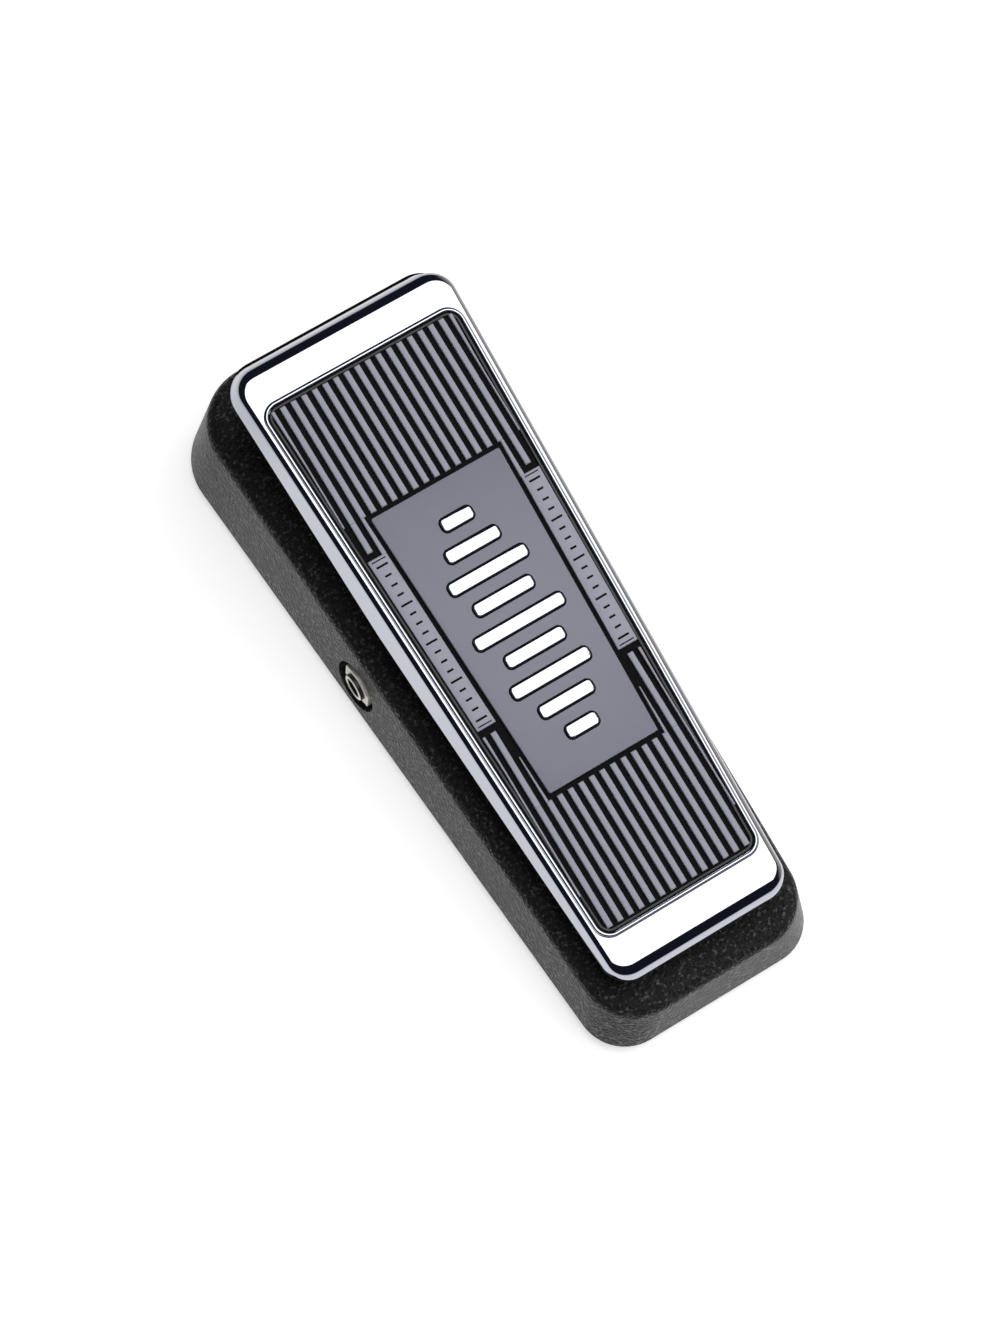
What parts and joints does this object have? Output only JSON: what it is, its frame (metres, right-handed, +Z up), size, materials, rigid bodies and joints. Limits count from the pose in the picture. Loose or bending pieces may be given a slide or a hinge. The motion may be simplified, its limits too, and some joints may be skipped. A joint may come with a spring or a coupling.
{
  "type": "rocker effects pedal",
  "caption": "Treadle-operated effects pedal: sloping cast housing, hinged chrome treadle with ribbed rubber tread, toe footswitch, and side jacks.",
  "frame": {"origin": "on the floor, under the middle of the housing", "axes": "+Z up, +Y towards the toe end, +X towards the input jack"},
  "size_m": [0.1, 0.252, 0.0806],
  "materials": {
    "crinkle_paint": "black crinkle paint on cast aluminium",
    "plate_paint": "satin black paint on sheet steel",
    "foot_rubber": "matt black rubber",
    "black_steel": "black oxide steel",
    "white_nylon": "natural nylon",
    "switch_case": "moulded switch case",
    "bright_steel": "nickel-plated steel",
    "jack_plastic": "moulded black plastic",
    "zinc_steel": "zinc-plated steel",
    "board_laminate": "solder-masked laminate",
    "component_red": "dipped component",
    "component_sleeve": "sleeved capacitor",
    "component_black": "moulded black case",
    "component_tan": "lacquered resistor",
    "battery_case": "printed steel jacket, plain",
    "chrome": "bright chrome plate",
    "tread_rubber": "satin grey rubber with black grooves",
    "badge_grey": "satin grey moulded plate"
  },
  "bodies": {
    "base": {"housing": "crinkle_paint", "bottom_plate": "plate_paint", "rubber_feet": "foot_rubber", "foot_screws": "black_steel", "pivot_bushes": "white_nylon", "heel_bumpers": "foot_rubber", "footswitch_body": "switch_case", "footswitch_washer": "bright_steel", "footswitch_nut": "bright_steel", "output_jack": "jack_plastic", "output_jack_washer": "bright_steel", "output_jack_nut": "bright_steel", "input_jack": "jack_plastic", "input_jack_washer": "bright_steel", "input_jack_nut": "bright_steel", "power_jack": "jack_plastic", "power_jack_nut": "jack_plastic", "pot_bracket": "zinc_steel", "bracket_screws": "zinc_steel", "potentiometer_body": "zinc_steel", "potentiometer_nut": "bright_steel", "rack_guide": "white_nylon", "rack_guide_screw": "zinc_steel", "circuit_board": "board_laminate", "board_screws": "zinc_steel", "inductor": "component_red", "electrolytic_capacitors": "component_sleeve", "film_capacitors": "component_red", "transistors": "component_black", "resistors": "component_tan", "battery": "battery_case", "battery_snap": "component_black"},
    "treadle": {"treadle": "chrome", "rubber_tread": "tread_rubber", "badge_plate": "badge_grey", "badge_bars": "chrome", "pivot_axle": "bright_steel", "axle_set_screws": "black_steel", "rack_pin": "bright_steel", "rack_pin_clips": "bright_steel", "toe_bumper": "foot_rubber"},
    "rack": {"rack": "white_nylon"},
    "pinion": {"pinion_gear": "white_nylon", "potentiometer_shaft": "bright_steel"},
    "plunger": {"footswitch_plunger": "bright_steel"}
  },
  "joints": [
    {"name": "treadle_rock", "type": "hinge", "parent": "base", "child": "treadle", "pos_m": [0, 0.00513, 0.0505], "axis": [-1, 0, 0], "range_deg": [0, 14.5]},
    {"name": "rack_slide", "type": "slide", "parent": "base", "child": "rack", "axis": [0, 0, -1], "range_m": [0, 0.0081]},
    {"name": "pinion_turn", "type": "hinge", "parent": "base", "child": "pinion", "pos_m": [0, 0.04387, 0.02], "axis": [1, 0, 0], "range_deg": [0, 83]},
    {"name": "footswitch_press", "type": "slide", "parent": "base", "child": "plunger", "axis": [0, 0, -1], "range_m": [0, 0.0016], "stiffness_N_per_m": 2000}
  ],
  "couplings": [
    {"joint": "rack_slide", "follows": "treadle_rock", "m_per_rad": 0.031915},
    {"joint": "pinion_turn", "follows": "treadle_rock", "ratio": 5.699}
  ]
}
